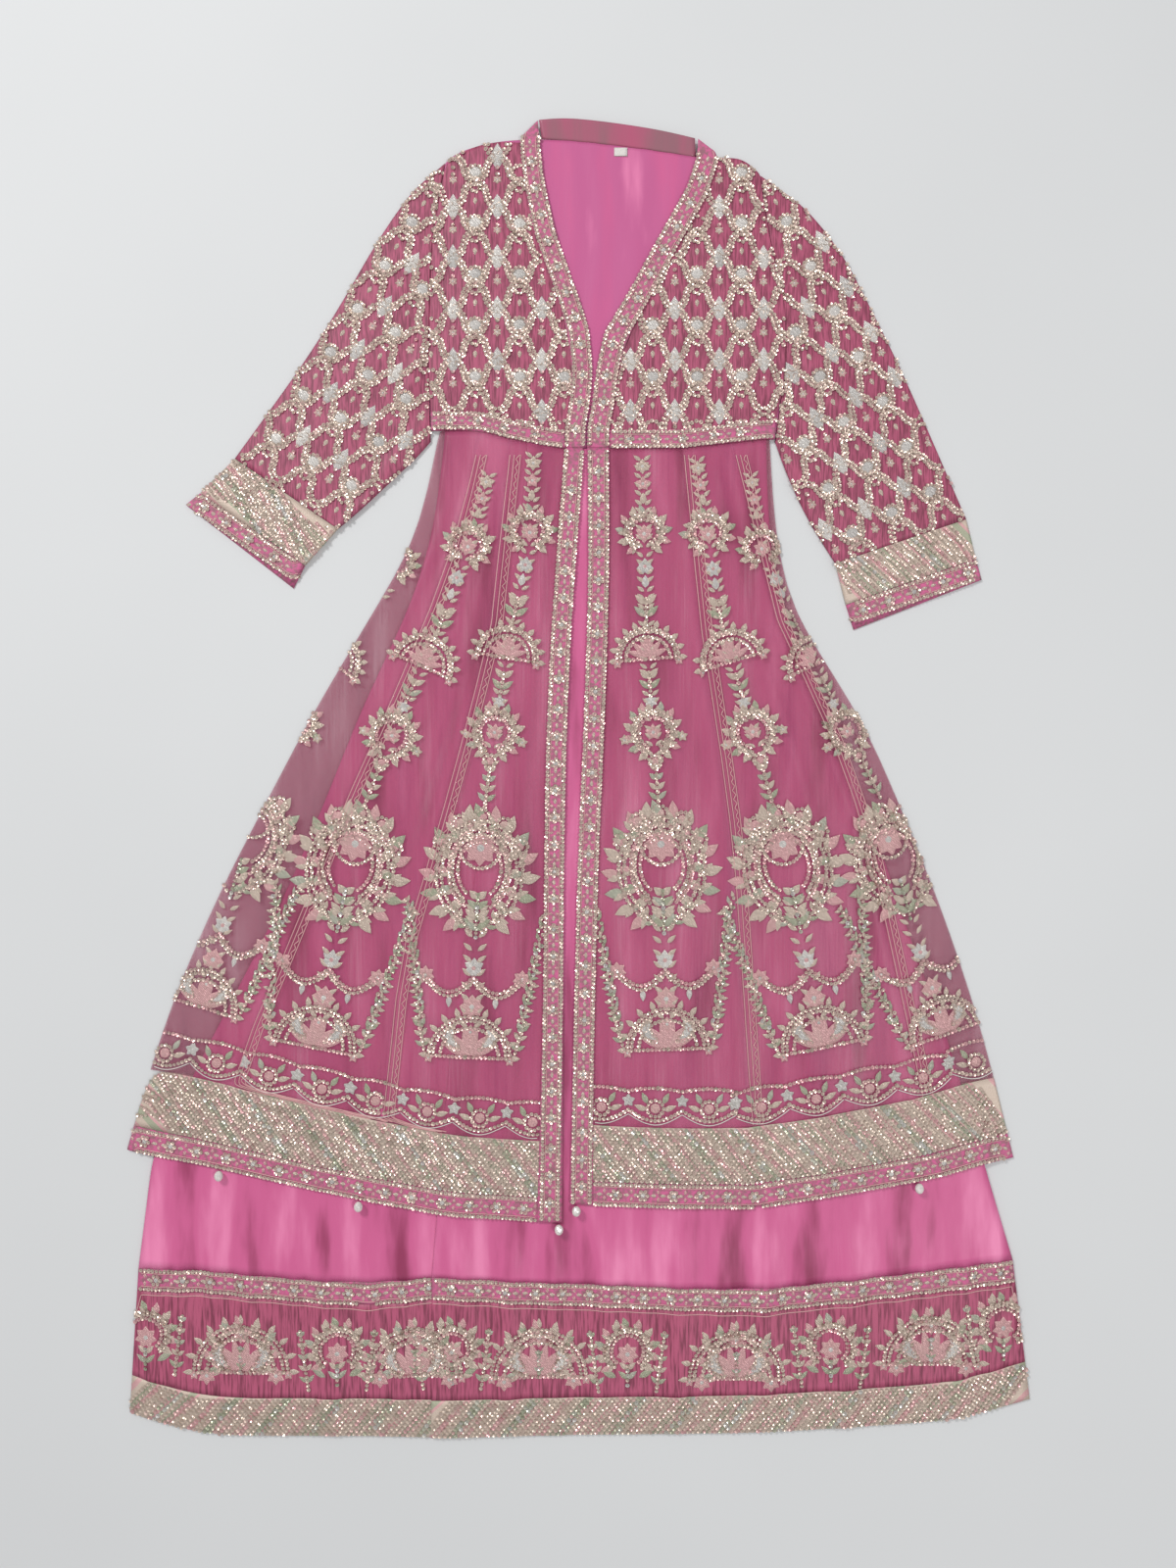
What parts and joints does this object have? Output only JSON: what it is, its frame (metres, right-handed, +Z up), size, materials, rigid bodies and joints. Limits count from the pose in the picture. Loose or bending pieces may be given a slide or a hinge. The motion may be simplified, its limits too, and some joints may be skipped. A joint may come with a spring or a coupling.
{
  "type": "anarkali gown",
  "caption": "Long open-front anarkali gown laid flat: embroidered bodice with sleeves, sheer net skirt and a longer satin inner skirt.",
  "frame": {"origin": "middle of the gown's box on the surface that it lies on", "axes": "+Z up off the surface, +Y from the hem to the collar, +X to the right of a viewer who looks down at the front, which is the wearer's left"},
  "size_m": [0.9376, 1.3698, 0.0158],
  "materials": {
    "net": "sheer pink net with fine ribs, embroidered",
    "satin": "crinkled pink satin with a soft sheen",
    "lining": "smooth pink satin",
    "collar_satin": "dull rose satin",
    "sequin_trim": "champagne sequins and silver thread on pink cloth",
    "stripe_band": "diagonal stripes of champagne, pale pink and sage sequins",
    "pearl": "silvery white pearl",
    "label": "plain white woven label, bare"
  },
  "bodies": {
    "root": {"skirt_back": "net", "hem_stripe_back": "stripe_band", "hem_trim_back": "sequin_trim", "skirt_left_side": "net", "skirt_left_middle": "net", "skirt_left_centre": "net", "skirt_right_centre": "net", "skirt_right_middle": "net", "skirt_right_side": "net", "hem_stripe_left": "stripe_band", "hem_stripe_right": "stripe_band", "hem_trim_left": "sequin_trim", "hem_trim_right": "sequin_trim", "front_band_left": "sequin_trim", "front_band_right": "sequin_trim", "inner_back": "satin", "inner_trim_back": "sequin_trim", "inner_border_back": "net", "inner_stripe_back": "stripe_band", "inner_front_left": "satin", "inner_trim_front_left": "sequin_trim", "inner_border_front_left": "net", "inner_stripe_front_left": "stripe_band", "inner_front_right": "satin", "inner_trim_front_right": "sequin_trim", "inner_border_front_right": "net", "inner_stripe_front_right": "stripe_band", "front_left": "net", "waist_trim_left": "sequin_trim", "neck_band_left": "sequin_trim", "sleeve_left_under": "net", "cuff_stripe_left_under": "stripe_band", "cuff_trim_left_under": "sequin_trim", "sleeve_left_upper": "net", "cuff_stripe_left_upper": "stripe_band", "cuff_trim_left_upper": "sequin_trim", "front_right": "net", "waist_trim_right": "sequin_trim", "neck_band_right": "sequin_trim", "sleeve_right_under": "net", "cuff_stripe_right_under": "stripe_band", "cuff_trim_right_under": "sequin_trim", "sleeve_right_upper": "net", "cuff_stripe_right_upper": "stripe_band", "cuff_trim_right_upper": "sequin_trim", "back": "net", "back_lining": "lining", "collar": "collar_satin", "size_label": "label", "bead_1": "pearl", "bead_2": "pearl", "bead_3": "pearl", "bead_4": "pearl", "bead_5": "pearl"}
  },
  "joints": []
}
